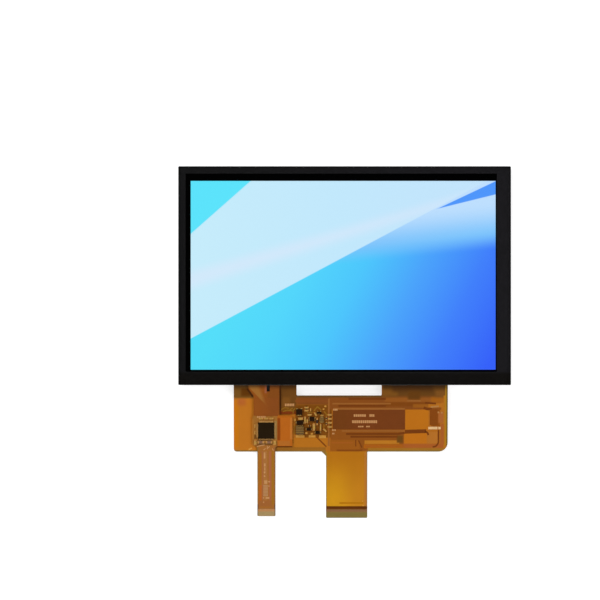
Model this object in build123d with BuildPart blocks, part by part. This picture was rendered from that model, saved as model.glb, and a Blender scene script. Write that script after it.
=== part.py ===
from build123d import *
import os
from math import cos, radians, sin, tan

# Colour display module, seven inches across the picture, with a bonded touch panel and two flexible circuits.
# It lies on its back. Origin: middle of the rear shell's back face. +X is to the right of the picture,
# +Y to its top and +Z out of the screen. Sizes are in millimetres.

os.makedirs("parts", exist_ok=True)

# The lit picture, and how far the front glass and its clear window reach past it
picture_width = 151.2
picture_height = 93.6
lens_past_left = 6.1
lens_past_right = 7.5
lens_past_top = 7.2
lens_past_bottom = 7.6
window_past_left = 2.5
window_past_right = 0.5
window_past_top = 3.6
window_past_bottom = 1.0
lens_corner = 0.6
lens_bevel = 0.15

# Layer thicknesses, from the back to the front
shell_sheet = 0.4
reflector_thick = 0.2
guide_thick = 2.0
diffuser_thick = 0.15
prism_thick = 0.15
film_gap = 0.1
polariser_thick = 0.2
glass_thick = 0.5
cell_thick = 0.05
bezel_sheet = 0.3
gasket_thick = 0.5
sensor_thick = 0.5
adhesive_thick = 0.2
ink_thick = 0.03
lens_thick = 1.1
tape_thick = 0.05

# Liquid crystal cell, beyond the picture
glass_side_margin = 3.7
glass_top_margin = 4.4
colour_glass_bottom_margin = 2.4
bonding_ledge = 3.4
driver_length = 28.0
driver_width = 1.1
driver_thick = 0.3
driver_from_glass = 0.5

# Case: bezel, mould frame and rear shell
lens_overhang = 0.3
opening_overlap = 0.3
fit_gap = 0.05
shell_wall_height = 2.5
shell_corner_relief = 2.0
bezel_skirt_bottom = 0.9
bezel_fold_radius = 0.2
snap_width = 4.4
snap_height = 0.8
snap_reach = 0.25
snap_bottom = 1.4
snap_clearance = 0.25
top_snap_count = 4
side_snap_count = 2
peg_length = 5.0
peg_width = 1.2
peg_clearance = 0.15
peg_short = 0.1
top_peg_count = 3
side_peg_count = 3
glass_pocket_gap = 0.2
lip_cover = 0.8
film_margin = 2.4
film_pocket_gap = 0.2
rear_polariser_margin = 1.3
lip_thick = 0.25
frame_top_gap = 0.05
gasket_inset = 0.3
gasket_from_window = 0.4
sensor_inset = 0.6
adhesive_inset = 0.3

# Backlight: a row of side-firing lamps below their own flexible strip
lamp_count = 24
lamp_length = 3.0
lamp_depth = 1.4
lamp_height = 1.6
lamp_lens_length = 2.4
lamp_lens_height = 1.0
lamp_lens_depth = 0.2
lamp_gap = 0.25
strip_thick = 0.15
strip_width = 2.8
strip_overrun = 1.0
lamp_tail_left = 41.2
lamp_tail_width = 7.0
lamp_tail_drop = 22.4

# Main flexible circuit, in plan. A drop is a distance below the glass's bottom edge.
main_flex_thick = 0.15
leg_drop = 5.2
left_leg_left = -55.0
left_leg_right = -23.8
right_leg_left = 18.4
right_leg_right = 51.25
body_drop = 33.2
main_left_corner = 1.4
main_right_corner = 4.5
window_corner = 0.5
main_tail_middle = 1.1
main_tail_drop = 66.2
tail_end_corner = 0.5
tail_root_chamfer = 2.2
main_contacts = 40
contact_pitch = 0.5
contact_width = 0.3
contact_thick = 0.035
main_contact_length = 4.0
bonding_overlap = 1.4

# Touch flexible circuit, in plan
touch_flex_thick = 0.12
touch_mouth_left = -47.7
touch_neck_left = -45.1
touch_pad_left = -45.8
touch_neck_right = -32.3
touch_wing_right = -25.9
touch_mouth_drop = 1.7
touch_neck_drop = 5.4
touch_wing_drop = 15.1
touch_foot_drop = 30.4
touch_tail_middle = -38.8
touch_tail_drop = 65.4
touch_root_radius = 1.2
touch_bond_depth = 3.8
slot_middle = -37.85
slot_width = 1.5
slot_drop = 3.2
touch_contacts = 17
touch_contact_length = 3.5

# How the circuits droop from the module to the table
main_knee_drop = 1.4
main_slope = 5.0
touch_knee_drop = 0.7
touch_slope = 6.0
flex_bend = 25.0
copper_thick = 0.03
stiffener_thick = 0.2
main_stiffener_length = 8.0
touch_stiffener_length = 7.0

# Touch controller: a square chip on pads round its edge and one pad in its middle
controller_size = 8.0
controller_height = 0.85
controller_x = -38.9
controller_drop = 22.65
controller_side_pads = 14
controller_pad_pitch = 0.5
controller_pad_width = 0.28
controller_pad_length = 1.3
controller_pad_reach = 0.8
controller_middle_pad = 5.6

# Chip capacitors and resistors: length, width and height
small_chip = (1.0, 0.6, 0.5)
medium_chip = (1.6, 0.8, 0.7)
large_chip = (2.0, 1.2, 0.9)
long_chip = (3.2, 1.2, 0.9)
narrow_chip = (3.0, 0.7, 0.7)
chip_end_share = 0.22
chip_pad_inside = 0.3
chip_pad_outside = 0.35

# Moulded parts: length, width and height of the body
power_chip = (3.0, 2.8, 1.0)
level_chip = (2.4, 2.0, 0.8)
transistor = (2.2, 0.9, 0.9)
flat_part = (2.2, 1.4, 0.8)
diode = (3.2, 1.9, 1.1)
coil = (4.0, 4.0, 1.2)
small_coil = (2.2, 2.4, 0.9)
lead_thick = 0.15
lead_width = 0.4
wide_lead = 0.8
power_tab = 2.0
lead_reach = 0.45
power_lead_pitch = 2.2
level_lead_pitch = 0.7
transistor_lead_pitch = 1.5
coil_end_length = 1.0
coil_end_reach = 0.3
coil_end_inset = 0.4
coil_edge = 0.2
solder_height = 0.25
solder_taper = 20

# Copper areas, solder joint, stiffeners and tape on the circuits
copper_left = -5.8
copper_right = 30.1
copper_top_drop = 12.3
copper_bottom_drop = 22.2
pad_block_left = 42.3
pad_block_right = 46.2
pad_block_top_drop = 12.1
pad_block_bottom_drop = 20.0
joint_inset = 0.4
joint_height = 1.3
joint_gap = 0.35
joint_split = 46.4
joint_top_drop = 20.8
backing_left = -26.0
backing_right = -5.0
backing_top_drop = 9.8
backing_bottom_drop = 27.3
touch_copper_inset = 0.6
touch_copper_top_drop = 6.3
touch_copper_bottom_drop = 15.4
touch_backing_inset = 0.5
touch_backing_top_drop = 16.0
touch_backing_bottom_drop = 30.0
tape_past_slot = 0.8


class Region:
    """A rectangle in plan, kept by its four edges."""

    def __init__(self, left, right, bottom, top):
        self.left = left
        self.right = right
        self.bottom = bottom
        self.top = top
        self.width = right - left
        self.height = top - bottom
        self.middle = ((left + right) / 2, (bottom + top) / 2)

    def grown(self, by):
        return Region(self.left - by, self.right + by, self.bottom - by, self.top + by)


def fill(region, corner=0.0, mode=Mode.ADD):
    """Draws a region in the sketch that is being made."""
    with Locations(region.middle):
        if corner > 0:
            RectangleRounded(region.width, region.height, corner, mode=mode)
        else:
            Rectangle(region.width, region.height, mode=mode)


# Heights of the layers' undersides
reflector_z = shell_sheet
guide_z = reflector_z + reflector_thick
diffuser_z = guide_z + guide_thick
lower_prism_z = diffuser_z + diffuser_thick
upper_prism_z = lower_prism_z + prism_thick
film_top_z = upper_prism_z + prism_thick
rear_polariser_z = film_top_z + film_gap
array_glass_z = rear_polariser_z + polariser_thick
cell_z = array_glass_z + glass_thick
colour_glass_z = cell_z + cell_thick
front_polariser_z = colour_glass_z + glass_thick
bezel_z = front_polariser_z + polariser_thick
gasket_z = bezel_z + bezel_sheet
sensor_z = gasket_z + gasket_thick
adhesive_z = sensor_z + sensor_thick
lens_z = adhesive_z + adhesive_thick
module_height = lens_z + lens_thick

# Plan regions
lens_width = lens_past_left + picture_width + lens_past_right
lens_height = lens_past_bottom + picture_height + lens_past_top
lens_plan = Region(-lens_width / 2, lens_width / 2, -lens_height / 2, lens_height / 2)
picture = Region(
    lens_plan.left + lens_past_left,
    lens_plan.right - lens_past_right,
    lens_plan.bottom + lens_past_bottom,
    lens_plan.top - lens_past_top,
)
window = Region(
    picture.left - window_past_left,
    picture.right + window_past_right,
    picture.bottom - window_past_bottom,
    picture.top + window_past_top,
)
colour_glass_plan = Region(
    picture.left - glass_side_margin,
    picture.right + glass_side_margin,
    picture.bottom - colour_glass_bottom_margin,
    picture.top + glass_top_margin,
)
array_glass_plan = Region(
    colour_glass_plan.left,
    colour_glass_plan.right,
    colour_glass_plan.bottom - bonding_ledge,
    colour_glass_plan.top,
)
bezel_plan = lens_plan.grown(-lens_overhang)
shell_plan = bezel_plan.grown(-bezel_sheet - fit_gap)
film_plan = picture.grown(film_margin)
lip_opening = film_plan.grown(-lip_cover)
touch_window = window.grown(gasket_from_window)

# How far down the circuits' corners lie
glass_edge = lens_plan.bottom
leg_bottom = glass_edge - leg_drop
main_bottom = glass_edge - body_drop
main_tail_end = glass_edge - main_tail_drop
main_knee_y = glass_edge - main_knee_drop
touch_mouth_bottom = glass_edge - touch_mouth_drop
touch_neck_bottom = glass_edge - touch_neck_drop
touch_wing_top = glass_edge - touch_wing_drop
touch_wing_bottom = glass_edge - touch_foot_drop
touch_tail_end = glass_edge - touch_tail_drop
touch_knee_y = glass_edge - touch_knee_drop
slot_bottom = glass_edge - slot_drop
lamp_tail_end = glass_edge - lamp_tail_drop

# Touch panel

with BuildPart() as cover_lens:
    with BuildSketch(Plane.XY.offset(lens_z)):
        fill(lens_plan, lens_corner)
    extrude(amount=lens_thick)
    chamfer(cover_lens.faces().sort_by(Axis.Z)[-1].edges(), lens_bevel)
    chamfer(cover_lens.faces().sort_by(Axis.Z)[0].edges(), lens_bevel)

with BuildPart() as border_ink:
    with BuildSketch(Plane.XY.offset(lens_z)):
        fill(lens_plan.grown(-lens_bevel), lens_corner - lens_bevel)
        fill(window, mode=Mode.SUBTRACT)
    extrude(amount=-ink_thick)

with BuildPart() as optical_adhesive:
    with BuildSketch(Plane.XY.offset(adhesive_z)):
        fill(lens_plan.grown(-sensor_inset - adhesive_inset))
    extrude(amount=adhesive_thick - ink_thick)
    with BuildSketch(Plane.XY.offset(adhesive_z)):
        fill(window)
    extrude(amount=adhesive_thick)

with BuildPart() as touch_sensor:
    with BuildSketch(Plane.XY.offset(sensor_z)):
        fill(lens_plan.grown(-sensor_inset))
    extrude(amount=sensor_thick)

touch_notch = Region(
    touch_mouth_left - 2 * fit_gap,
    touch_neck_right + 2 * fit_gap,
    lens_plan.bottom,
    lens_plan.bottom + touch_bond_depth + 2 * fit_gap,
)

with BuildPart() as gasket_tape:
    with BuildSketch(Plane.XY.offset(gasket_z)):
        fill(bezel_plan.grown(-gasket_inset))
        fill(touch_window, mode=Mode.SUBTRACT)
        fill(touch_notch, mode=Mode.SUBTRACT)
    extrude(amount=gasket_thick)

# Liquid crystal cell

with BuildPart() as front_polariser:
    with BuildSketch(Plane.XY.offset(front_polariser_z)):
        fill(colour_glass_plan.grown(-fit_gap))
    extrude(amount=polariser_thick)

with BuildPart() as colour_filter_glass:
    with BuildSketch(Plane.XY.offset(colour_glass_z)):
        fill(colour_glass_plan)
    extrude(amount=glass_thick)

with BuildPart() as pixel_layer:
    with BuildSketch(Plane.XY.offset(cell_z)):
        fill(picture)
    extrude(amount=cell_thick)

with BuildPart() as black_mask:
    with BuildSketch(Plane.XY.offset(cell_z)):
        fill(colour_glass_plan)
        fill(picture, mode=Mode.SUBTRACT)
    extrude(amount=cell_thick)

with BuildPart() as array_glass:
    with BuildSketch(Plane.XY.offset(array_glass_z)):
        fill(array_glass_plan)
    extrude(amount=glass_thick)

with BuildPart() as rear_polariser:
    with BuildSketch(Plane.XY.offset(rear_polariser_z)):
        fill(picture.grown(rear_polariser_margin))
    extrude(amount=polariser_thick)

driver_y = colour_glass_plan.bottom - driver_from_glass - driver_width / 2
leg_middles = (
    (left_leg_left + left_leg_right) / 2,
    (right_leg_left + right_leg_right) / 2,
)

with BuildPart() as driver_chips:
    with BuildSketch(Plane.XY.offset(cell_z)):
        with Locations(*[(x, driver_y) for x in leg_middles]):
            Rectangle(driver_length, driver_width)
    extrude(amount=driver_thick)

# Case

leg_passages = [
    Region(left_leg_left - lens_overhang, left_leg_right + lens_overhang, -lens_height, leg_bottom + bonding_ledge * 2),
    Region(right_leg_left - lens_overhang, right_leg_right + lens_overhang, -lens_height, leg_bottom + bonding_ledge * 2),
]


def spread(length, count):
    """Places for a number of things, evenly spaced about the middle of a length."""
    return [length * ((step + 0.5) / count - 0.5) for step in range(count)]


bottom_snaps = (
    (bezel_plan.left + left_leg_left) / 2,
    (left_leg_right + right_leg_left) / 2,
    (bezel_plan.right + right_leg_right) / 2,
)
snap_places = (
    [(x, bezel_plan.top) for x in spread(bezel_plan.width, top_snap_count)]
    + [(x, bezel_plan.bottom) for x in bottom_snaps]
    + [(x, y) for x in (bezel_plan.left, bezel_plan.right) for y in spread(bezel_plan.height, side_snap_count)]
)


def snap_plan(place, width, outer, depth):
    """The plan of one snap or of its window, from the outline's edge inwards."""
    x, y = place
    if y in (bezel_plan.top, bezel_plan.bottom):
        edge = outer.top if y > 0 else outer.bottom
        inwards = edge - depth if y > 0 else edge + depth
        return Region(x - width / 2, x + width / 2, min(edge, inwards), max(edge, inwards))
    edge = outer.right if x > 0 else outer.left
    inwards = edge - depth if x > 0 else edge + depth
    return Region(min(edge, inwards), max(edge, inwards), y - width / 2, y + width / 2)


lower_frame_plan = shell_plan.grown(-shell_sheet - fit_gap)
upper_frame_plan = bezel_plan.grown(-bezel_sheet - fit_gap)
lamp_room_bottom = array_glass_plan.bottom + glass_pocket_gap
film_pocket = Region(
    film_plan.left - film_pocket_gap,
    film_plan.right + film_pocket_gap,
    lamp_room_bottom,
    film_plan.top + film_pocket_gap,
)
frame_top_z = bezel_z - frame_top_gap
lip_top_z = film_top_z + lip_thick
left_peg_x = (lower_frame_plan.left + film_pocket.left) / 2
right_peg_x = (lower_frame_plan.right + film_pocket.right) / 2
top_peg_y = (lower_frame_plan.top + film_pocket.top) / 2


def pegs(slack):
    """Draws the frame's pegs in plan, or with some slack the slots that they stand in."""
    with Locations(*[(x, top_peg_y) for x in spread(film_pocket.width, top_peg_count)]):
        Rectangle(peg_length + 2 * slack, peg_width + 2 * slack)
    with Locations(*[(x, y) for x in (left_peg_x, right_peg_x) for y in spread(film_pocket.height, side_peg_count)]):
        Rectangle(peg_width + 2 * slack, peg_length + 2 * slack)


with BuildPart() as front_bezel:
    with BuildSketch(Plane.XY.offset(bezel_skirt_bottom)):
        fill(bezel_plan)
    extrude(amount=bezel_z + bezel_sheet - bezel_skirt_bottom)
    fillet(front_bezel.edges().filter_by(Axis.Z), bezel_sheet + bezel_fold_radius)
    fillet(front_bezel.faces().sort_by(Axis.Z)[-1].edges(), bezel_fold_radius)
    with BuildSketch(Plane.XY.offset(bezel_skirt_bottom)):
        fill(bezel_plan.grown(-bezel_sheet), bezel_fold_radius)
    extrude(amount=bezel_z - bezel_skirt_bottom, mode=Mode.SUBTRACT)
    with BuildSketch(Plane.XY.offset(bezel_z)):
        fill(window.grown(opening_overlap))
    extrude(amount=bezel_sheet, mode=Mode.SUBTRACT)
    with BuildSketch(Plane.XY.offset(bezel_skirt_bottom)):
        for passage in leg_passages:
            fill(passage)
    extrude(amount=bezel_z - bezel_skirt_bottom, mode=Mode.SUBTRACT)
    with BuildSketch(Plane.XY.offset(snap_bottom - snap_clearance)):
        for place in snap_places:
            fill(snap_plan(place, snap_width + 2 * snap_clearance, bezel_plan, 2 * bezel_sheet))
    extrude(amount=snap_height + 2 * snap_clearance, mode=Mode.SUBTRACT)

with BuildPart() as rear_shell:
    with BuildSketch():
        fill(shell_plan)
    extrude(amount=shell_wall_height)
    with BuildSketch(Plane.XY.offset(shell_sheet)):
        fill(shell_plan.grown(-shell_sheet))
    extrude(amount=shell_wall_height, mode=Mode.SUBTRACT)
    with BuildSketch():
        with GridLocations(shell_plan.width, shell_plan.height, 2, 2):
            Rectangle(2 * shell_corner_relief, 2 * shell_corner_relief)
        fill(shell_plan.grown(-shell_sheet), mode=Mode.SUBTRACT)
    extrude(amount=shell_wall_height, mode=Mode.SUBTRACT)
    fillet(rear_shell.faces().sort_by(Axis.Z)[0].edges().filter_by(Axis.X), shell_sheet / 2)
    with BuildSketch(Plane.XY.offset(snap_bottom)):
        for place in snap_places:
            fill(snap_plan(place, snap_width, shell_plan.grown(snap_reach), snap_reach))
    extrude(amount=snap_height)
    with BuildSketch():
        pegs(peg_clearance)
    extrude(amount=shell_sheet, mode=Mode.SUBTRACT)

with BuildPart() as mould_frame:
    with BuildSketch(Plane.XY.offset(shell_sheet)):
        fill(lower_frame_plan)
    extrude(amount=shell_wall_height - shell_sheet + fit_gap)
    with BuildSketch(Plane.XY.offset(shell_wall_height + fit_gap)):
        fill(upper_frame_plan)
    extrude(amount=frame_top_z - shell_wall_height - fit_gap)
    with BuildSketch(Plane.XY.offset(peg_short)):
        pegs(0)
    extrude(amount=shell_sheet - peg_short)
    with BuildSketch(Plane.XY.offset(shell_sheet)):
        fill(film_pocket)
    extrude(amount=film_top_z - shell_sheet, mode=Mode.SUBTRACT)
    with BuildSketch(Plane.XY.offset(film_top_z)):
        fill(lip_opening)
    extrude(amount=lip_thick, mode=Mode.SUBTRACT)
    with BuildSketch(Plane.XY.offset(lip_top_z)):
        fill(array_glass_plan.grown(glass_pocket_gap))
    extrude(amount=frame_top_z - lip_top_z, mode=Mode.SUBTRACT)
    with BuildSketch(Plane.XY.offset(cell_z - fit_gap)):
        for passage in leg_passages:
            fill(passage)
    extrude(amount=module_height, mode=Mode.SUBTRACT)
    with BuildSketch(Plane.XY.offset(diffuser_z - fit_gap)):
        fill(
            Region(
                lamp_tail_left - 2 * fit_gap,
                lamp_tail_left + lamp_tail_width + 2 * fit_gap,
                -lens_height,
                lamp_room_bottom,
            )
        )
    extrude(amount=module_height, mode=Mode.SUBTRACT)

with BuildPart() as rim_tape:
    with BuildSketch(Plane.XY.offset(lip_top_z)):
        fill(array_glass_plan.grown(-glass_pocket_gap))
        fill(lip_opening, mode=Mode.SUBTRACT)
    extrude(amount=tape_thick)

# Backlight

with BuildPart() as upper_prism_film:
    with BuildSketch(Plane.XY.offset(upper_prism_z)):
        fill(film_plan)
    extrude(amount=prism_thick)

with BuildPart() as lower_prism_film:
    with BuildSketch(Plane.XY.offset(lower_prism_z)):
        fill(film_plan)
    extrude(amount=prism_thick)

with BuildPart() as diffuser_film:
    with BuildSketch(Plane.XY.offset(diffuser_z)):
        fill(film_plan)
    extrude(amount=diffuser_thick)

with BuildPart() as light_guide:
    with BuildSketch(Plane.XY.offset(guide_z)):
        fill(film_plan)
    extrude(amount=guide_thick)

with BuildPart() as reflector_film:
    with BuildSketch(Plane.XY.offset(reflector_z)):
        fill(Region(film_plan.left, film_plan.right, lamp_room_bottom + fit_gap, film_plan.top))
    extrude(amount=reflector_thick)

strip_plan = Region(
    picture.left - strip_overrun,
    picture.right + strip_overrun,
    film_plan.bottom - lamp_gap - strip_width,
    film_plan.bottom - lamp_gap,
)
lamp_y = film_plan.bottom - lamp_gap - lamp_depth / 2

with BuildPart() as lamps:
    with BuildSketch(Plane.XY.offset(diffuser_z)):
        with Locations((picture.middle[0], lamp_y)):
            with GridLocations(picture_width / lamp_count, 0, lamp_count, 1):
                Rectangle(lamp_length, lamp_depth)
    extrude(amount=-lamp_height)
    with BuildSketch(Plane.XZ.offset(-film_plan.bottom + lamp_gap)):
        with Locations((picture.middle[0], diffuser_z - lamp_height / 2)):
            with GridLocations(picture_width / lamp_count, 0, lamp_count, 1):
                Rectangle(lamp_lens_length, lamp_lens_height)
    extrude(amount=lamp_lens_depth, mode=Mode.SUBTRACT)


# The circuits' side views: level out of the module, a straight slope, then flat on the table

main_top_z = cell_z + main_flex_thick
main_rest_z = stiffener_thick + main_flex_thick
touch_top_z = sensor_z
touch_rest_z = stiffener_thick + touch_flex_thick


def slope_plane(knee_y, top_z, slope):
    """The plane of a circuit's sloping top face, with its origin at the knee."""
    tilt = radians(slope)
    return Plane(origin=(0, knee_y, top_z), x_dir=(1, 0, 0), z_dir=(0, -sin(tilt), cos(tilt)))


def side_points(inner_y, knee_y, top_z, slope, rest_z, end_y):
    """Corners of a circuit's top face in side view, as (y, z)."""
    tilt = radians(slope)
    foot_y = knee_y - (top_z - rest_z) * cos(tilt) / sin(tilt)
    return [(inner_y, top_z), (knee_y, top_z), (foot_y, rest_z), (end_y, rest_z)]


main_plane = slope_plane(main_knee_y, main_top_z, main_slope)
touch_plane = slope_plane(touch_knee_y, touch_top_z, touch_slope)
main_side = side_points(
    array_glass_plan.bottom + bonding_overlap, main_knee_y, main_top_z, main_slope, main_rest_z, main_tail_end
)
touch_side = side_points(
    lens_plan.bottom + touch_bond_depth, touch_knee_y, touch_top_z, touch_slope, touch_rest_z, touch_tail_end
)

left_leg = Region(left_leg_left, left_leg_right, leg_bottom, main_side[0][0])
right_leg = Region(right_leg_left, right_leg_right, leg_bottom, main_side[0][0])
main_body = Region(left_leg_left, right_leg_right, main_bottom, leg_bottom)
main_tail_width = (main_contacts + 1) * contact_pitch
main_tail = Region(
    main_tail_middle - main_tail_width / 2,
    main_tail_middle + main_tail_width / 2,
    main_tail_end,
    main_bottom,
)
touch_tail_width = (touch_contacts + 1) * contact_pitch
touch_tail_left = touch_tail_middle - touch_tail_width / 2
touch_tail_right = touch_tail_middle + touch_tail_width / 2


def on_slope(plane, x, drop):
    """A point given in plan by its drop below the glass's edge, as it lies on a circuit's sloping plane."""
    return x, (glass_edge - drop - plane.origin.Y) / plane.z_dir.Z


def strip_on_slope(plane, left, right, top_drop, bottom_drop):
    """A plan rectangle, as it lies on a circuit's sloping plane."""
    bottom = on_slope(plane, 0, bottom_drop)[1]
    top = on_slope(plane, 0, top_drop)[1]
    return Region(left, right, bottom, top)


def round_corner(outline, x, y, radius):
    """Rounds the corner of an outline that lies nearest to a point."""
    fillet(outline.vertices().sort_by_distance(Vector(x, y))[0], radius)


# Where the parts stand on the circuits, in plan: across, drop below the glass's edge, turn and size
main_capacitors = [
    (-18.9, 11.2, 0, medium_chip),
    (-18.9, 12.7, 0, medium_chip),
    (-16.9, 12.3, 90, small_chip),
    (-17.3, 14.8, 0, medium_chip),
    (-14.4, 14.5, -60, medium_chip),
    (-11.2, 15.1, 0, small_chip),
    (-21.8, 16.7, 0, large_chip),
    (-19.6, 17.4, 90, narrow_chip),
    (-18.5, 17.9, 90, medium_chip),
    (-15.2, 20.9, 90, long_chip),
    (-11.9, 21.0, 90, narrow_chip),
    (-9.7, 22.5, -45, medium_chip),
    (-7.3, 14.8, 0, medium_chip),
    (-7.3, 16.8, 0, medium_chip),
    (-7.3, 18.8, 0, medium_chip),
    (-7.3, 20.8, 0, medium_chip),
]
main_resistors = [
    (-13.6, 18.2, 90, narrow_chip),
    (-9.0, 16.6, 90, small_chip),
    (-9.0, 19.2, 90, small_chip),
    (-17.4, 20.3, 0, small_chip),
]
# Pads that carry no part: across, drop, length and width
main_bare_pads = [
    (-24.6, 17.4, 0.8, 1.2),
    (-9.5, 10.6, 0.9, 0.8),
    (-10.4, 12.0, 0.8, 0.7),
    (-19.0, 24.0, 1.2, 0.9),
    (-16.2, 24.3, 1.1, 0.9),
    (-22.1, 25.6, 4.4, 1.2),
    (-16.1, 25.6, 3.4, 1.1),
    (-10.9, 25.8, 3.4, 1.4),
]
touch_capacitors_at = [
    (-41.5, 16.6, 0, medium_chip),
    (-38.9, 16.6, 0, medium_chip),
    (-36.3, 16.6, 0, medium_chip),
    (-44.5, 20.4, 90, small_chip),
    (-44.5, 23.6, 90, small_chip),
    (-44.3, 28.6, 90, large_chip),
    (-34.7, 28.6, 90, large_chip),
]
touch_resistors_at = [
    (-41.55, 28.4, 0, long_chip),
    (-37.45, 28.4, 0, long_chip),
]
power_chip_at = (-22.5, 13.4)
level_chip_at = (-16.1, 16.9)
transistor_at = (-12.6, 13.8)
flat_parts_at = [(-17.7, 21.9), (-13.3, 23.6)]
diode_at = (-22.2, 18.7)
coils_at = [(-22.2, 22.4, coil), (-11.3, 17.3, small_coil)]
tape_plan = Region(
    slot_middle - slot_width,
    slot_middle + slot_width,
    slot_bottom - tape_past_slot,
    glass_edge + lens_overhang - fit_gap,
)


def chip_middles(plane, chips):
    """Draws the ceramic of each chip, between its metal ends."""
    for x, drop, turn, (long, wide, high) in chips:
        with BuildSketch(plane.offset(copper_thick)) as drawn:
            with Locations(Location((*on_slope(plane, x, drop), 0), (0, 0, turn))):
                Rectangle(long * (1 - 2 * chip_end_share), wide)
        extrude(drawn.sketch, amount=high)


def chip_tips(plane, chips):
    """Draws the two metal ends of each chip."""
    for x, drop, turn, (long, wide, high) in chips:
        with BuildSketch(plane.offset(copper_thick)) as drawn:
            with Locations(Location((*on_slope(plane, x, drop), 0), (0, 0, turn))):
                with GridLocations(long * (1 - chip_end_share), 0, 2, 1):
                    Rectangle(long * chip_end_share, wide)
        extrude(drawn.sketch, amount=high)


def chip_pads(plane, chips):
    """Draws the two copper pads below each chip."""
    pad_long = chip_pad_inside + chip_pad_outside
    for x, drop, turn, (long, wide, high) in chips:
        with BuildSketch(plane) as drawn:
            with Locations(Location((*on_slope(plane, x, drop), 0), (0, 0, turn))):
                with GridLocations(long - chip_pad_inside + chip_pad_outside, 0, 2, 1):
                    Rectangle(pad_long, wide)
        extrude(drawn.sketch, amount=copper_thick)


def bare_pads(plane, pads):
    """Draws copper pads that no part stands on."""
    for x, drop, long, wide in pads:
        with BuildSketch(plane) as drawn:
            with Locations(on_slope(plane, x, drop)):
                Rectangle(long, wide)
        extrude(drawn.sketch, amount=copper_thick)


def moulded_body(plane, place, size, lift):
    """Draws a moulded part's body, lifted off the circuit by a distance."""
    long, wide, high = size
    with BuildSketch(plane.offset(lift)) as drawn:
        with Locations(on_slope(plane, *place)):
            Rectangle(long, wide)
    extrude(drawn.sketch, amount=high)


def lead_row(plane, place, turn, across, lead, count=1, pitch=0.0):
    """Draws a row of flat leads on one side of a moulded part, reaching out from under its edge."""
    with BuildSketch(plane) as drawn:
        with Locations(Location((*on_slope(plane, *place), 0), (0, 0, turn))):
            with Locations((0, across / 2 + lead_reach / 2 - lead_width / 2)):
                with GridLocations(pitch, 0, count, 1):
                    Rectangle(lead, lead_reach + lead_width)
    extrude(drawn.sketch, amount=lead_thick)


# Backlight strip with its tail, which lies against the back of the main circuit

strip_top_z = diffuser_z + strip_thick
main_under_drop = main_flex_thick / cos(radians(main_slope))
lamp_knee_y = main_knee_y - (main_top_z - main_under_drop - strip_top_z) / tan(radians(main_slope))
lamp_end_z = strip_top_z - (lamp_knee_y - lamp_tail_end) * tan(radians(main_slope))
lamp_side = [
    (strip_plan.bottom + strip_width / 2, strip_top_z),
    (lamp_knee_y, strip_top_z),
    (lamp_tail_end, lamp_end_z),
]

with BuildPart() as lamp_strip:
    with BuildSketch(Plane.XY.offset(diffuser_z)):
        fill(strip_plan)
    extrude(amount=strip_thick)
    with BuildSketch(Plane.YZ.offset(lamp_tail_left)):
        with BuildLine():
            FilletPolyline(*lamp_side, radius=flex_bend)
            offset(amount=strip_thick, side=Side.LEFT)
        make_face()
    extrude(amount=lamp_tail_width)

with BuildPart() as strip_tape:
    with BuildSketch(Plane.XY.offset(strip_top_z)):
        fill(strip_plan.grown(-fit_gap))
    extrude(amount=film_top_z - strip_top_z)

# Main flexible circuit

with BuildPart() as main_flex:
    with BuildSketch(Plane.YZ.offset(left_leg_left)):
        with BuildLine():
            FilletPolyline(*main_side, radius=flex_bend)
            offset(amount=main_flex_thick, side=Side.LEFT)
        make_face()
    extrude(amount=right_leg_right - left_leg_left)
    with BuildSketch() as main_outline:
        fill(main_body)
        fill(left_leg)
        fill(right_leg)
        fill(main_tail)
        round_corner(main_outline, left_leg_left, main_bottom, main_left_corner)
        round_corner(main_outline, right_leg_right, main_bottom, main_right_corner)
        round_corner(main_outline, left_leg_right, leg_bottom, window_corner)
        round_corner(main_outline, right_leg_left, leg_bottom, window_corner)
        round_corner(main_outline, main_tail.right, main_bottom, window_corner)
        round_corner(main_outline, main_tail.left, main_tail_end, tail_end_corner)
        round_corner(main_outline, main_tail.right, main_tail_end, tail_end_corner)
        with BuildLine():
            Polyline(
                (main_tail.left, main_bottom),
                (main_tail.left - tail_root_chamfer, main_bottom),
                (main_tail.left, main_bottom - tail_root_chamfer),
                close=True,
            )
        make_face()
    extrude(amount=lens_z, mode=Mode.INTERSECT)

with BuildPart() as main_copper:
    with BuildSketch(main_plane):
        fill(strip_on_slope(main_plane, copper_left, copper_right, copper_top_drop, copper_bottom_drop))
        fill(
            strip_on_slope(main_plane, pad_block_left, pad_block_right, pad_block_top_drop, pad_block_bottom_drop)
        )
    extrude(amount=copper_thick)

with BuildPart() as main_contact_strips:
    with BuildSketch(Plane.XY.offset(main_rest_z)):
        with Locations((main_tail_middle, main_tail_end + fit_gap + main_contact_length / 2)):
            with GridLocations(contact_pitch, 0, main_contacts, 1):
                Rectangle(contact_width, main_contact_length)
    extrude(amount=contact_thick)

with BuildPart() as main_stiffener:
    with BuildSketch():
        fill(
            Region(main_tail.left, main_tail.right, main_tail_end, main_tail_end + main_stiffener_length),
            tail_end_corner,
        )
    extrude(amount=stiffener_thick)

with BuildPart() as parts_stiffener:
    with BuildSketch(main_plane.offset(-main_flex_thick)):
        fill(
            strip_on_slope(main_plane, backing_left, backing_right, backing_top_drop, backing_bottom_drop),
            window_corner,
        )
    extrude(amount=-stiffener_thick)

with BuildPart() as slot_tape:
    with BuildSketch(Plane.YZ.offset(tape_plan.left)):
        with BuildLine():
            FilletPolyline(*main_side, radius=flex_bend)
            offset(amount=tape_thick, side=Side.RIGHT)
        make_face()
    extrude(amount=tape_plan.width)
    with BuildSketch():
        fill(tape_plan)
    extrude(amount=lens_z, mode=Mode.INTERSECT)

# Parts on the main circuit

with BuildPart() as part_pads:
    chip_pads(main_plane, main_capacitors + main_resistors)
    bare_pads(main_plane, main_bare_pads)

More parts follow.
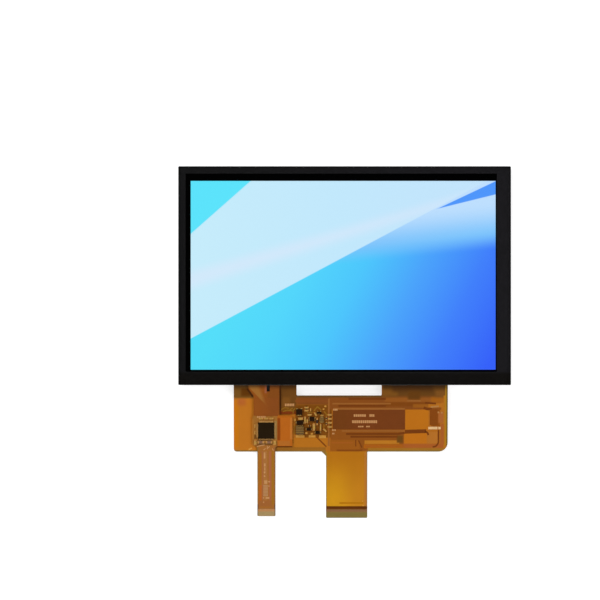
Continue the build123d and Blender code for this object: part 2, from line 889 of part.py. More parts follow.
with BuildPart() as capacitors:
    chip_middles(main_plane, main_capacitors)

with BuildPart() as resistors:
    chip_middles(main_plane, main_resistors)

with BuildPart() as chip_ends:
    chip_tips(main_plane, main_capacitors + main_resistors)

with BuildPart() as moulded_chips:
    moulded_body(main_plane, power_chip_at, power_chip, lead_thick)
    moulded_body(main_plane, level_chip_at, level_chip, lead_thick)
    moulded_body(main_plane, transistor_at, transistor, lead_thick)
    for place in flat_parts_at:
        moulded_body(main_plane, place, flat_part, lead_thick)

with BuildPart() as moulded_diode:
    moulded_body(main_plane, diode_at, diode, lead_thick)

with BuildPart() as part_leads:
    lead_row(main_plane, power_chip_at, 0, power_chip[1], wide_lead, 2, power_lead_pitch)
    lead_row(main_plane, power_chip_at, 180, power_chip[1], power_tab)
    lead_row(main_plane, level_chip_at, 90, level_chip[0], lead_width, 3, level_lead_pitch)
    lead_row(main_plane, level_chip_at, -90, level_chip[0], lead_width, 3, level_lead_pitch)
    lead_row(main_plane, transistor_at, 0, transistor[1], lead_width, 2, transistor_lead_pitch)
    lead_row(main_plane, transistor_at, 180, transistor[1], lead_width)
    lead_row(main_plane, diode_at, 90, diode[0], wide_lead)
    lead_row(main_plane, diode_at, -90, diode[0], wide_lead)
    for place in flat_parts_at:
        lead_row(main_plane, place, 90, flat_part[0], wide_lead)
        lead_row(main_plane, place, -90, flat_part[0], wide_lead)

with BuildPart() as storage_coil:
    for x, drop, size in coils_at:
        moulded_body(main_plane, (x, drop), size, lead_thick)
    upper_faces = storage_coil.faces().filter_by(lambda face: face.normal_at().dot(main_plane.z_dir) > 0.9)
    chamfer(upper_faces.edges(), coil_edge)

with BuildPart() as coil_ends:
    with BuildSketch(main_plane):
        for x, drop, (long, wide, high) in coils_at:
            with Locations(on_slope(main_plane, x, drop)):
                with GridLocations(0, wide - coil_end_length + 2 * coil_end_reach, 1, 2):
                    Rectangle(long - 2 * coil_end_inset, coil_end_length)
    extrude(amount=lead_thick)

with BuildPart() as lamp_solder:
    with BuildSketch(main_plane):
        for left, right in (
            (lamp_tail_left + joint_inset, joint_split - joint_gap / 2),
            (joint_split + joint_gap / 2, lamp_tail_left + lamp_tail_width - joint_inset),
        ):
            fill(strip_on_slope(main_plane, left, right, joint_top_drop, joint_top_drop + joint_height))
    extrude(amount=solder_height, taper=solder_taper)

# Touch flexible circuit

with BuildPart() as touch_flex:
    with BuildSketch(Plane.YZ.offset(touch_mouth_left)):
        with BuildLine():
            FilletPolyline(*touch_side, radius=flex_bend)
            offset(amount=touch_flex_thick, side=Side.LEFT)
        make_face()
    extrude(amount=touch_wing_right - touch_mouth_left)
    with BuildSketch() as touch_outline:
        with BuildLine():
            Polyline(
                (touch_mouth_left, touch_side[0][0]),
                (touch_mouth_left, touch_mouth_bottom),
                (touch_neck_left, touch_neck_bottom),
                (touch_neck_left, touch_wing_top),
                (touch_pad_left, touch_wing_top - touch_root_radius),
                (touch_pad_left, touch_wing_bottom),
                (touch_tail_left, touch_wing_bottom),
                (touch_tail_left, touch_tail_end),
                (touch_tail_right, touch_tail_end),
                (touch_tail_right, touch_wing_bottom),
                (touch_wing_right, touch_wing_bottom),
                (touch_wing_right, touch_wing_top),
                (touch_neck_right, touch_wing_top),
                (touch_neck_right, touch_side[0][0]),
                close=True,
            )
        make_face()
        round_corner(touch_outline, touch_tail_left, touch_wing_bottom, touch_root_radius)
        round_corner(touch_outline, touch_tail_right, touch_wing_bottom, touch_root_radius)
        round_corner(touch_outline, touch_pad_left, touch_wing_bottom, touch_root_radius)
        round_corner(touch_outline, touch_tail_left, touch_tail_end, tail_end_corner)
        round_corner(touch_outline, touch_tail_right, touch_tail_end, tail_end_corner)
        fill(
            Region(slot_middle - slot_width / 2, slot_middle + slot_width / 2, slot_bottom, 0),
            mode=Mode.SUBTRACT,
        )
    extrude(amount=lens_z, mode=Mode.INTERSECT)

with BuildPart() as touch_copper:
    with BuildSketch(touch_plane):
        fill(
            strip_on_slope(
                touch_plane,
                touch_neck_left + touch_copper_inset,
                touch_neck_right - touch_copper_inset,
                touch_copper_top_drop,
                touch_copper_bottom_drop,
            )
        )
    extrude(amount=copper_thick)

with BuildPart() as touch_contact_strips:
    with BuildSketch(Plane.XY.offset(touch_rest_z)):
        with Locations((touch_tail_middle, touch_tail_end + fit_gap + touch_contact_length / 2)):
            with GridLocations(contact_pitch, 0, touch_contacts, 1):
                Rectangle(contact_width, touch_contact_length)
    extrude(amount=contact_thick)

with BuildPart() as touch_stiffener:
    with BuildSketch():
        fill(
            Region(touch_tail_left, touch_tail_right, touch_tail_end, touch_tail_end + touch_stiffener_length),
            tail_end_corner,
        )
    extrude(amount=stiffener_thick)

with BuildPart() as controller_stiffener:
    with BuildSketch(touch_plane.offset(-touch_flex_thick)):
        fill(
            strip_on_slope(
                touch_plane,
                touch_pad_left + touch_backing_inset,
                touch_neck_right - touch_backing_inset,
                touch_backing_top_drop,
                touch_backing_bottom_drop,
            ),
            window_corner,
        )
    extrude(amount=-stiffener_thick)

# Parts on the touch circuit

with BuildPart() as controller_pads:
    with BuildSketch(touch_plane):
        with Locations(on_slope(touch_plane, controller_x, controller_drop)):
            Rectangle(controller_middle_pad, controller_middle_pad)
            for turn in (0, 90, 180, 270):
                with Locations(Location((0, 0, 0), (0, 0, turn))):
                    with Locations((0, controller_size / 2 + controller_pad_reach - controller_pad_length / 2)):
                        with GridLocations(controller_pad_pitch, 0, controller_side_pads, 1):
                            Rectangle(controller_pad_width, controller_pad_length)
    extrude(amount=copper_thick)

with BuildPart() as controller_chip:
    moulded_body(
        touch_plane,
        (controller_x, controller_drop),
        (controller_size, controller_size, controller_height),
        copper_thick,
    )

with BuildPart() as touch_part_pads:
    chip_pads(touch_plane, touch_capacitors_at + touch_resistors_at)

with BuildPart() as touch_capacitors:
    chip_middles(touch_plane, touch_capacitors_at)

with BuildPart() as touch_resistors:
    chip_middles(touch_plane, touch_resistors_at)

with BuildPart() as touch_chip_ends:
    chip_tips(touch_plane, touch_capacitors_at + touch_resistors_at)

# One file for each part

finished = {
    "cover_lens": cover_lens,
    "border_ink": border_ink,
    "optical_adhesive": optical_adhesive,
    "touch_sensor": touch_sensor,
    "gasket_tape": gasket_tape,
    "front_bezel": front_bezel,
    "front_polariser": front_polariser,
    "colour_filter_glass": colour_filter_glass,
    "pixel_layer": pixel_layer,
    "black_mask": black_mask,
    "array_glass": array_glass,
    "rear_polariser": rear_polariser,
    "driver_chips": driver_chips,
    "rim_tape": rim_tape,
    "mould_frame": mould_frame,
    "upper_prism_film": upper_prism_film,
    "lower_prism_film": lower_prism_film,
    "diffuser_film": diffuser_film,
    "light_guide": light_guide,
    "reflector_film": reflector_film,
    "lamps": lamps,
    "lamp_strip": lamp_strip,
    "strip_tape": strip_tape,
    "rear_shell": rear_shell,
    "main_flex": main_flex,
    "main_copper": main_copper,
    "main_contact_strips": main_contact_strips,
    "main_stiffener": main_stiffener,
    "parts_stiffener": parts_stiffener,
    "slot_tape": slot_tape,
    "part_pads": part_pads,
    "capacitors": capacitors,
    "resistors": resistors,
    "chip_ends": chip_ends,
    "moulded_chips": moulded_chips,
    "moulded_diode": moulded_diode,
    "part_leads": part_leads,
    "storage_coil": storage_coil,
    "coil_ends": coil_ends,
    "lamp_solder": lamp_solder,
    "touch_flex": touch_flex,
    "touch_copper": touch_copper,
    "touch_contact_strips": touch_contact_strips,
    "touch_stiffener": touch_stiffener,
    "controller_stiffener": controller_stiffener,
    "controller_pads": controller_pads,
    "controller_chip": controller_chip,
    "touch_part_pads": touch_part_pads,
    "touch_capacitors": touch_capacitors,
    "touch_resistors": touch_resistors,
    "touch_chip_ends": touch_chip_ends,
}
for name, built in finished.items():
    built.part.label = name
    export_step(built.part, "parts/" + name + ".step")
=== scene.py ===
import math

import bpy
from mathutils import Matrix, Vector


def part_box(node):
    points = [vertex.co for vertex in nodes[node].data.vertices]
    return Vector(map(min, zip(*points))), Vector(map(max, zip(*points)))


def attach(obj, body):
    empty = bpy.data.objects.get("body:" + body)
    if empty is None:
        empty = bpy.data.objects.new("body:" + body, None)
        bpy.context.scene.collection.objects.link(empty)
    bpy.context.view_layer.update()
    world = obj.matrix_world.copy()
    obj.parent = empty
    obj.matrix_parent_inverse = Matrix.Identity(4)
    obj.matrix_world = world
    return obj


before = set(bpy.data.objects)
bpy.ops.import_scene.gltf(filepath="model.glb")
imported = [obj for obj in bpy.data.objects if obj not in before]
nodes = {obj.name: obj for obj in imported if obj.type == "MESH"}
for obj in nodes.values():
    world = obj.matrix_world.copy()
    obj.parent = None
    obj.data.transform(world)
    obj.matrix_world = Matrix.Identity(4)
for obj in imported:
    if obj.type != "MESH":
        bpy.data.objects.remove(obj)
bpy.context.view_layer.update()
MM = 0.001
# Places on the circuits are given as x and drop, the distance below the cover lens's lower edge.
glass_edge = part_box("cover_lens")[0].y / MM


# Colours, node trees and shader maths

def tone(code):
    """A screen colour such as "#C48A1E", as the linear colour that a shader takes."""
    parts = [int(code[i:i + 2], 16) / 255 for i in (1, 3, 5)]
    return tuple(c / 12.92 if c <= 0.04045 else ((c + 0.055) / 1.055) ** 2.4 for c in parts) + (1.0,)


class Wire:
    """A value inside a node tree, with the arithmetic that a pattern needs."""

    def __init__(self, tree, socket):
        self.tree = tree
        self.socket = socket

    def maths(self, operation, *values):
        node = self.tree.nodes.new("ShaderNodeMath")
        node.operation = operation
        for value, place in zip(values, node.inputs):
            plug(self.tree, value, place)
        return Wire(self.tree, node.outputs[0])

    def __add__(self, other):
        return self.maths("ADD", self, other)

    def __sub__(self, other):
        return self.maths("SUBTRACT", self, other)

    def __rsub__(self, other):
        return self.maths("SUBTRACT", other, self)

    def __mul__(self, other):
        return self.maths("MULTIPLY", self, other)

    __rmul__ = __mul__

    def __truediv__(self, other):
        return self.maths("DIVIDE", self, other)

    def __abs__(self):
        return self.maths("ABSOLUTE", self)

    def __gt__(self, other):
        return self.maths("GREATER_THAN", self, other)

    def most(self, other):
        return self.maths("MAXIMUM", self, other)


def plug(tree, value, place):
    """Gives a socket a value, or links the wire that carries it."""
    if isinstance(value, Wire):
        tree.links.new(value.socket, place)
    else:
        place.default_value = value


def set_stops(ramp, stops):
    """Gives a colour ramp its stops, each a place from 0 to 1 and a colour code."""
    while len(ramp.elements) < len(stops):
        ramp.elements.new(1.0)
    for element, (place, code) in zip(ramp.elements, stops):
        element.position = place
        element.color = tone(code)


# Sockets of the mix node when it mixes colours: its factor, two colours and result.
MIX_FACTOR, MIX_FIRST, MIX_SECOND, MIX_RESULT = 0, 6, 7, 2


class Tree:
    """A node tree, with a method that adds any node to it, and one that mixes colours."""

    def __init__(self, tree):
        self.tree = tree

    def node(self, kind, settings=None, *values, take=0, **named):
        """Adds a node with its settings and the values or wires of its sockets, and returns its output."""
        made = self.tree.nodes.new(kind)
        for key, value in (settings or {}).items():
            if key == "stops":
                set_stops(made.color_ramp, value)
            else:
                setattr(made, key, value)
        for value, place in zip(values, made.inputs):
            plug(self.tree, value, place)
        for key, value in named.items():
            plug(self.tree, value, made.inputs[key.replace("_", " ")])
        if isinstance(take, tuple):
            return [Wire(self.tree, made.outputs[key]) for key in take]
        return Wire(self.tree, made.outputs[take])

    def mix(self, factor, first, second):
        """Two colours, by a factor."""
        made = self.tree.nodes.new("ShaderNodeMix")
        made.data_type = "RGBA"
        for place, value in ((MIX_FACTOR, factor), (MIX_FIRST, first), (MIX_SECOND, second)):
            plug(self.tree, value, made.inputs[place])
        return Wire(self.tree, made.outputs[MIX_RESULT])


class Finish(Tree):
    """A material round one Principled shader, with its constants set and its patterns wired in."""

    def __init__(self, name, **constants):
        self.material = bpy.data.materials.new(name)
        self.material.use_nodes = True
        super().__init__(self.material.node_tree)
        self.shader = self.tree.nodes["Principled BSDF"]
        for key, value in constants.items():
            self.shader.inputs[key.replace("_", " ")].default_value = value
        self.spot = self.node("ShaderNodeTexCoord", take="Object")
        metres = self.node("ShaderNodeSeparateXYZ", {}, self.spot, take=("X", "Y"))
        self.x, self.y = [axis / MM for axis in metres]
        self.drop = glass_edge - self.y

    def rise(self, value, low, high):
        """A value's smooth step from 0 at low to 1 at high, where low may be the larger number."""
        smooth = {"interpolation_type": "SMOOTHSTEP"}
        return self.node("ShaderNodeMapRange", smooth, value, low, high, 0.0, 1.0)

    def band(self, value, low, high, soft):
        """A mask that is 1 where a value lies between low and high."""
        return self.rise(value, low - soft, low + soft) * (1 - self.rise(value, high - soft, high + soft))

    def area(self, left, right, top, bottom, soft):
        """A mask over a rectangle of a circuit, from one drop to another."""
        return self.band(self.x, left, right, soft) * self.band(self.drop, top, bottom, soft)

    def above(self, start, end, soft, height=None):
        """A mask over what lies to the left of the way from start to end, given as x and height."""
        height = self.y if height is None else height
        run, climb = end[0] - start[0], end[1] - start[1]
        length = math.hypot(run, climb)
        off = (height - start[1]) * (run / length) - (self.x - start[0]) * (climb / length)
        return self.rise(off, -soft, soft)

    def fade(self, value, low, high, codes):
        """A colour that runs evenly through several tones as a value goes from low to high."""
        share = self.node("ShaderNodeMapRange", {}, value, low, high, 0.0, 1.0)
        last = len(codes) - 1
        stops = [(i / last, code) for i, code in enumerate(codes)]
        return self.node("ShaderNodeValToRGB", {"stops": stops}, share)

    def cloud(self, scale, detail=3.0, stretch=(1, 1, 1)):
        """Soft noise between 0 and 1, whose grains are about 1 / (scale * stretch) millimetres wide."""
        where = self.node("ShaderNodeMapping", {}, self.spot, Scale=[s / MM for s in stretch])
        return self.node("ShaderNodeTexNoise", {}, Vector=where, Scale=scale, Detail=detail)

    def wear(self, colour, amount, scale, richness=1.0, level=1.0):
        """A colour that drifts darker and lighter over the surface, by an amount each way."""
        drift = (self.cloud(scale) - 0.5) * (2 * amount) + level
        inputs = {"Saturation": richness, "Value": drift, "Color": colour}
        return self.node("ShaderNodeHueSaturation", take="Color", **inputs)

    def wire(self, **signals):
        """Links signals to the shader's sockets, or sets them."""
        for key, value in signals.items():
            plug(self.tree, value, self.shader.inputs[key.replace("_", " ")])
        return self

    def relief(self, height, distance):
        """Bump from a height between 0 and 1, over a distance in millimetres."""
        bump = self.node("ShaderNodeBump", {}, Height=height, Strength=1.0, Distance=distance * MM)
        return self.wire(Normal=bump)


def dress(finish, *names):
    """Gives pieces of the part a finish, in place of the one that they come with."""
    for name in names:
        held = nodes[name].data.materials
        held.clear()
        held.append(finish.material)


# Glass and clear layers

def lens_glass():
    """Clear glass: it mirrors a little on its upper face, and looks dark green at its edges and bevels."""
    edge_alpha = 0.9
    made = Finish("lens_glass")
    facing, inside = made.node("ShaderNodeNewGeometry", take=("Normal", "Backfacing"))
    upright = abs(made.node("ShaderNodeSeparateXYZ", {}, facing, take="Z"))
    face = made.rise(upright, 0.8, 0.95)
    gloss = made.node("ShaderNodeFresnel", {}, IOR=1.45) * (1 - inside)
    made.wire(
        Base_Color=made.mix(face, made.wear(tone("#1C2422"), 0.1, 0.2), (1, 1, 1, 1)),
        Metallic=face,
        Alpha=face * gloss + (1 - face) * edge_alpha,
        Roughness=made.cloud(0.08) * 0.02 + 0.02,
    )
    return made


def clear_layer(name, edge_tone, edge_alpha, face_alpha):
    """A clear layer that shows at its edges and hardly on its faces."""
    made = Finish(name, Roughness=0.2)
    facing = made.node("ShaderNodeNewGeometry", take="Normal")
    upright = abs(made.node("ShaderNodeSeparateXYZ", {}, facing, take="Z"))
    made.wire(
        Base_Color=made.wear(tone(edge_tone), 0.1, 0.4),
        Alpha=(1 - made.rise(upright, 0.3, 0.7)) * (edge_alpha - face_alpha) + face_alpha,
    )
    return made


def border_ink():
    """Black print on the back of the lens, a little paler towards the right and warmer at the foot."""
    made = Finish("border_ink", Specular_IOR_Level=0.05)
    shade = made.mix(made.rise(made.x, -82, 82), tone("#141415"), tone("#1A191C"))
    shade = made.mix(made.rise(made.y, -47, -49), shade, tone("#0E0C0A"))
    made.wire(Base_Color=made.wear(shade, 0.12, 0.05), Roughness=made.cloud(0.3) * 0.15 + 0.4)
    return made


dress(lens_glass(), "cover_lens")
dress(border_ink(), "border_ink")
dress(clear_layer("sensor_glass", "#7FA094", edge_alpha=0.75, face_alpha=0.0), "touch_sensor")
dress(clear_layer("clear_adhesive", "#C9CFCD", edge_alpha=0.5, face_alpha=0.0), "optical_adhesive")
cell_glass = clear_layer("cell_glass", "#6E9184", edge_alpha=0.8, face_alpha=0.1)
dress(cell_glass, "colour_filter_glass", "array_glass")
dress(clear_layer("rear_film", "#4A4F50", edge_alpha=0.8, face_alpha=0.5), "rear_polariser")


# The lit picture: fields of colour behind the glass

def lit_picture(left, right, bottom, top):
    """Pale fields above a rising edge, and blue below it that deepens to the right."""
    made = Finish("lit_picture", Roughness=0.2, Emission_Strength=1.035, Specular_IOR_Level=0.05)
    # Edges run between points given as x and y in millimetres from the middle of the glass.
    x, y = made.x, made.y
    pale = made.fade(x, -76, 76, ("#C6ECFB", "#C2E8FC", "#C3E3FC"))
    streak = made.above((-76, -6), (44, 32.5), 3.5) * (1 - made.above((-76, 2), (44, 36), 3.5))
    pale = made.mix(streak * 0.6, pale, tone("#DAE8FB"))
    pale = made.mix(made.above((-76, 21), (-46, 47.5), 0.35), pale, tone("#5CE3FB"))
    blues = ("#55DEF9", "#53D6FB", "#4DC6FC", "#4BA3FB", "#4180FB", "#3661F9")
    deep = made.fade(x - 0.51 * y, -50, 94, blues)
    height = y - 0.1 * x
    deep = made.mix(made.rise(height, 5, 15), deep, tone("#7AC3FC"))
    deep = made.mix(made.rise(height, 11, 30), deep, tone("#BEDFFE"))
    field = made.mix(made.above((-76, -31), (47, 34.5), 0.3), deep, pale)
    wedge = made.above((46, 33.2), (76, 40.6), 0.25) * (1 - made.above((46, 33.2), (76, 47.4), 0.25))
    field = made.mix(wedge, field, tone("#4F96FB"))
    edge = 0.06
    lit = made.band(x, left, right, edge) * made.band(y, bottom, top, edge)
    made.wire(
        Base_Color=made.wear(tone("#020202"), 0.2, 0.2),
        Emission_Color=made.mix(lit, (0, 0, 0, 1), field),
    )
    return made


def black_mask():
    """Black layer round the lit picture, inside the liquid crystal cell."""
    made = Finish("black_mask", Roughness=0.5)
    made.wire(Base_Color=made.wear(tone("#050506"), 0.2, 0.3))
    return made


screen_low, screen_high = [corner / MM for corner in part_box("pixel_layer")]
picture = lit_picture(screen_low.x, screen_high.x, screen_low.y, screen_high.y)
dress(picture, "front_polariser", "pixel_layer")
dress(black_mask(), "black_mask")


# Case, backlight and tapes

def brushed(name, code, stretch, rough):
    """Thin rolled steel with fine marks, which run along the axis of least stretch."""
    made = Finish(name, Metallic=1.0)
    marks = made.cloud(1.0, 4.0, stretch)
    made.wire(
        Base_Color=made.wear(tone(code), 0.05, 0.05),
        Roughness=marks * 0.2 + rough,
    )
    return made.relief(marks, 0.01)


def plain(name, code, rough, drift=0.08, grain=0.6, bump=0.01, **constants):
    """A moulded, printed or fired surface with a fine grain."""
    made = Finish(name, **constants)
    made.wire(
        Base_Color=made.wear(tone(code), drift, grain),
        Roughness=made.cloud(grain * 2) * 0.15 + rough,
    )
    return made.relief(made.cloud(grain * 6), bump) if bump else made


dress(brushed("bezel_steel", "#B9BBBC", stretch=(0.2, 4, 4), rough=0.28), "front_bezel")
dress(brushed("shell_steel", "#C3C5C6", stretch=(0.15, 3, 3), rough=0.3), "rear_shell")
dress(plain("frame_plastic", "#E4E4E0", rough=0.45), "mould_frame")
dress(plain("gasket_foam", "#161617", rough=0.8, drift=0.2, grain=2.0, bump=0.05), "gasket_tape")
dress(plain("rim_tape", "#101011", rough=0.55), "rim_tape")
dress(plain("driver_silicon", "#3B3E42", rough=0.2), "driver_chips")
dress(
    plain("light_film", "#E6EAEE", rough=0.35, drift=0.03),
    "upper_prism_film", "lower_prism_film", "diffuser_film",
)
dress(clear_layer("guide_acrylic", "#DDE7EA", edge_alpha=0.7, face_alpha=0.3), "light_guide")
dress(plain("mirror_film", "#F0F0EF", rough=0.2, drift=0.03), "reflector_film")
dress(plain("lamp_resin", "#DCC96C", rough=0.3), "lamps")
dress(plain("strip_film", "#A8641C", rough=0.3), "lamp_strip")
dress(plain("strip_foam", "#DEDDD8", rough=0.8, drift=0.05, grain=2.0), "strip_tape")
dress(plain("slot_tape", "#0E0B0C", rough=0.5), "slot_tape")


# Flexible circuits

# Areas where the film looks darker, redder or brighter, mostly because of the copper inside it; the rows
# marked as painted shadow or shade stand in for shadows.
# Each is laid over those before it: left, right, top drop, bottom drop, softness of the edge, colour.
main_areas = (
    (-57.0, -44.0, 6.0, 34.0, 0.5, "#BD7223"),
    (-57.0, -52.6, 7.5, 31.0, 0.3, "#C37318"),
    (-53.2, -49.0, 6.6, 10.2, 1.4, "#B4632C"),
    (-57.0, -44.0, -2.0, 6.6, 0.7, "#754E1D"),
    (-51.4, -46.6, 1.6, 5.6, 0.9, "#613606"),
    (-34.0, -23.7, -2.0, 14.4, 0.3, "#6B4216"),
    # Painted shadow of the touch circuit's right edge on the leg beside its neck.
    (-34.0, -31.6, -2.0, 14.4, 0.3, "#5E2E0A"),
    (-31.0, -27.0, 6.2, 11.0, 1.0, "#7A4C1B"),
    (-31.5, -25.5, 11.0, 14.6, 0.8, "#764814"),
    # Painted shadow of the touch circuit's wing, just below it.
    (-34.4, -25.9, 30.2, 33.0, 0.3, "#6E370C"),
    (-23.7, -7.5, 4.0, 9.8, 0.3, "#7E461A"),
    (-24.5, -6.2, 9.8, 26.2, 0.4, "#7A460E"),
    (-32.0, -24.2, 13.2, 14.5, 0.25, "#7C3610"),
    (-25.8, -8.9, 26.4, 33.0, 0.3, "#B26D1F"),
    (-34.0, -9.3, 31.0, 32.5, 0.4, "#96601F"),
    (-24.5, -8.0, 7.4, 8.6, 0.3, "#84481C"),
    (-7.5, 48.0, 4.0, 12.3, 0.3, "#854919"),
    (20.0, 48.0, 6.2, 8.6, 0.8, "#92541E"),
    (43.0, 50.0, 5.6, 8.8, 0.9, "#A25E18"),
    (20.0, 42.0, 8.6, 10.6, 0.5, "#7E4310"),
    (34.0, 42.0, 9.6, 11.2, 0.5, "#97581A"),
    (-24.0, 18.6, 4.6, 6.2, 0.2, "#644320"),
    (-7.0, 29.6, 22.2, 33.0, 0.3, "#8C4E18"),
    (-7.0, 7.6, 27.4, 33.0, 0.4, "#985618"),
    (10.0, 27.2, 27.6, 29.4, 0.2, "#B67424"),
    (26.0, 29.0, 25.2, 28.8, 0.5, "#6C4414"),
    (9.6, 29.0, 29.6, 31.6, 0.25, "#A85C14"),
    (30.1, 41.6, 12.3, 22.2, 0.25, "#B86D1B"),
    (29.6, 41.0, 22.4, 29.2, 0.25, "#BC6E1C"),
    (41.0, 46.2, 23.4, 29.2, 0.4, "#B26E29"),
    (29.0, 49.4, 29.3, 31.8, 0.4, "#A65A26"),
    (18.6, 53.0, -2.0, 5.8, 1.2, "#664015"),
    (18.6, 26.4, 2.4, 5.6, 1.2, "#7C4E1A"),
    (45.0, 53.0, 2.6, 6.0, 1.2, "#7C4E1D"),
    # Painted shade at the top of the right leg, just below the glass's edge.
    (23.6, 44.0, -2.0, 3.4, 1.4, "#56330F"),
    (31.4, 37.6, 3.0, 7.4, 1.0, "#643B0E"),
    (42.9, 47.4, 11.9, 20.6, 0.3, "#8A4A12"),
    (46.6, 49.2, 13.4, 18.9, 0.5, "#A8622E"),
    (41.6, 49.4, 9.0, 11.2, 0.5, "#B26C20"),
    (49.2, 50.4, 5.2, 32.0, 0.2, "#B06E1E"),
    (47.6, 49.4, 19.4, 29.6, 0.3, "#A65C28"),
    (50.0, 50.6, 0.0, 30.0, 0.15, "#A87A1C"),
    (50.6, 53.0, -2.0, 30.5, 0.15, "#705521"),
    (-57.0, -9.3, 32.5, 35.0, 0.15, "#8A662C"),
    (11.6, 53.0, 31.4, 32.5, 0.3, "#9E6B22"),
    (11.6, 53.0, 32.5, 35.0, 0.15, "#866A30"),
    (9.9, 11.0, 33.5, 60.4, 0.2, "#B0712F"),
    (-4.0, 9.0, 32.2, 33.0, 0.3, "#7E420F"),
    (-2.5, 9.4, 58.4, 59.2, 0.2, "#AC6E12"),
    (-9.5, -8.7, 33.6, 62.0, 0.15, "#96782A"),
    (10.6, 11.2, 34.0, 59.5, 0.15, "#B87020"),
    (11.0, 12.0, 33.0, 66.5, 0.1, "#806A3E"),
    (-9.5, 11.6, 60.4, 61.9, 0.2, "#5C2E08"),
    (-9.5, 11.6, 61.9, 63.2, 0.2, "#745030"),
    (-9.5, 11.6, 63.2, 65.7, 0.3, "#6C5C28"),
    (-9.5, 11.6, 65.7, 67.0, 0.15, "#5C5230"),
)
touch_areas = (
    (-38.4, -31.0, 0.0, 15.2, 1.0, "#824819"),
    (-39.6, -38.6, 0.0, 4.0, 0.3, "#99583A"),
    (-47.5, -33.0, 15.2, 31.0, 0.2, "#99652A"),
    (-47.5, -45.3, 16.6, 30.0, 0.6, "#B0702A"),
    (-44.9, -43.3, 24.8, 26.8, 0.4, "#704618"),
    (-33.3, -25.5, 15.0, 31.0, 0.2, "#B3611D"),
    (-33.3, -25.5, 15.0, 16.2, 0.2, "#A95D19"),
    (-27.0, -25.5, 16.2, 27.0, 0.2, "#B96F2D"),
    (-33.3, -31.9, 16.4, 27.6, 0.3, "#8A4110"),
    (-32.6, -27.0, 27.8, 30.2, 0.4, "#AF6727"),
    (-34.9, -33.6, 17.8, 27.2, 0.2, "#97733F"),
    (-43.2, -35.8, 27.0, 29.8, 0.3, "#79542B"),
    (-35.7, -33.9, 27.0, 30.2, 0.25, "#B38039"),
    (-43.8, -34.0, 30.0, 66.0, 0.3, "#A0652C"),
    (-43.8, -42.9, 30.8, 66.0, 0.15, "#8C6C34"),
    (-42.3, -41.1, 34.0, 57.6, 0.35, "#A2681F"),
    (-42.3, -41.2, 50.0, 57.6, 0.5, "#B65E24"),
    (-41.1, -40.4, 33.0, 57.6, 0.3, "#A1623A"),
    (-40.4, -38.2, 33.0, 57.6, 0.3, "#A46C38"),
    (-38.2, -37.7, 33.0, 57.6, 0.3, "#98621C"),
    (-37.7, -36.2, 33.0, 57.6, 0.35, "#A4623C"),
    (-36.2, -35.2, 33.0, 59.6, 0.3, "#9C6A1E"),
    (-34.9, -33.8, 30.8, 66.0, 0.15, "#8C5E34"),
    (-42.9, -36.2, 57.6, 60.4, 0.4, "#9C6030"),
    (-43.8, -33.8, 61.5, 63.0, 0.15, "#9E6C3C"),
    (-43.8, -33.8, 63.0, 65.0, 0.4, "#8E7646"),
    (-43.8, -33.8, 65.0, 66.0, 0.15, "#7E7058"),
    (-43.8, -42.8, 59.4, 66.0, 0.15, "#5E483C"),
    (-34.8, -33.8, 59.4, 66.0, 0.15, "#5E483C"),
)


# How much fuller than their codes the colours of the film and of the copper are.
film_richness = 1.011
copper_richness = 1.008


def film(name, first, areas, level=1.0):
    """Amber film over copper: its areas, painted shade below the glass's edge, slow drift in shade, and a
    bonded film's small waves.
    """
    made = Finish(name, Coat_Weight=0.04, Coat_Roughness=0.15, Specular_IOR_Level=0.12)
    colour = first(made)
    for left, right, top, bottom, soft, code in areas:
        colour = made.mix(made.area(left, right, top, bottom, soft), colour, tone(code))
    # Painted shade: the film just below the glass's edge is darkened, standing in for the glass's shadow.
    painted_glass_shade = made.rise(made.drop, 2.6, -0.5) * 0.6
    colour = made.mix(painted_glass_shade, colour, tone("#2E1E12"))
    made.wire(
        Base_Color=made.wear(colour, 0.07, 0.12, film_richness, level),
        Roughness=made.cloud(0.9) * 0.15 + 0.34,
    )
    return made.relief(made.cloud(0.5), 0.03)


def main_ground(made):
    """Bare film of the main circuit, with a tail that is brighter towards its end and its left side."""
    gold = made.mix(made.rise(made.x, -5, 7), tone("#CA8F1F"), tone("#BE7D20"))
    gold = made.mix(made.rise(made.drop, 56, 33), gold, tone("#B06E18"))
    return made.mix(made.rise(made.drop, 32.6, 33.4), tone("#AE6820"), gold)


def neck_glow(made, colour):
    """Lays a paler wedge over a colour. It runs down the touch circuit's neck from the left corner."""
    left_side = 1 - made.above((-47.0, 1.5), (-39.6, 9.3), 0.2, made.drop)
    right_side = made.above((-42.8, 0.0), (-39.2, 10.0), 1.2, made.drop)
    fade_out = made.rise(made.drop, 11.5, 6.0)
    return made.mix(left_side * right_side * fade_out, colour, tone("#9C662C"))


def touch_ground(made):
    """Bare film of the touch circuit."""
    return neck_glow(made, tone("#8D4C19"))


dress(film("main_film", main_ground, main_areas), "main_flex")
dress(film("touch_film", touch_ground, touch_areas), "touch_flex")


def copper_below(name, code, steps, over=None):
    """Copper under the film. Its shade changes from left to right in steps: start, end and next colour."""
    made = Finish(name, Specular_IOR_Level=0.12)
    shade = tone(code)
    for start, end, next_code in steps:
        shade = made.mix(made.rise(made.x, start, end), shade, tone(next_code))
    if over:
        shade = over(made, shade)
    made.wire(
        Base_Color=made.wear(shade, 0.08, 0.3, copper_richness),
        Roughness=made.cloud(0.6) * 0.15 + 0.35,
    )
    return made.relief(made.cloud(1.8), 0.02)


main_steps = ((-3, 8, "#723A14"), (34, 40, "#82430E"))
touch_steps = ((-44, -34, "#84471A"),)
dress(copper_below("main_copper_area", "#6E3A11", main_steps), "main_copper")
dress(copper_below("touch_copper_area", "#8D4C19", touch_steps, neck_glow), "touch_copper")
stiffeners = ("main_stiffener", "parts_stiffener", "touch_stiffener", "controller_stiffener")
dress(plain("stiffener_film", "#A06A2A", rough=0.4), *stiffeners)


# Parts on the circuits

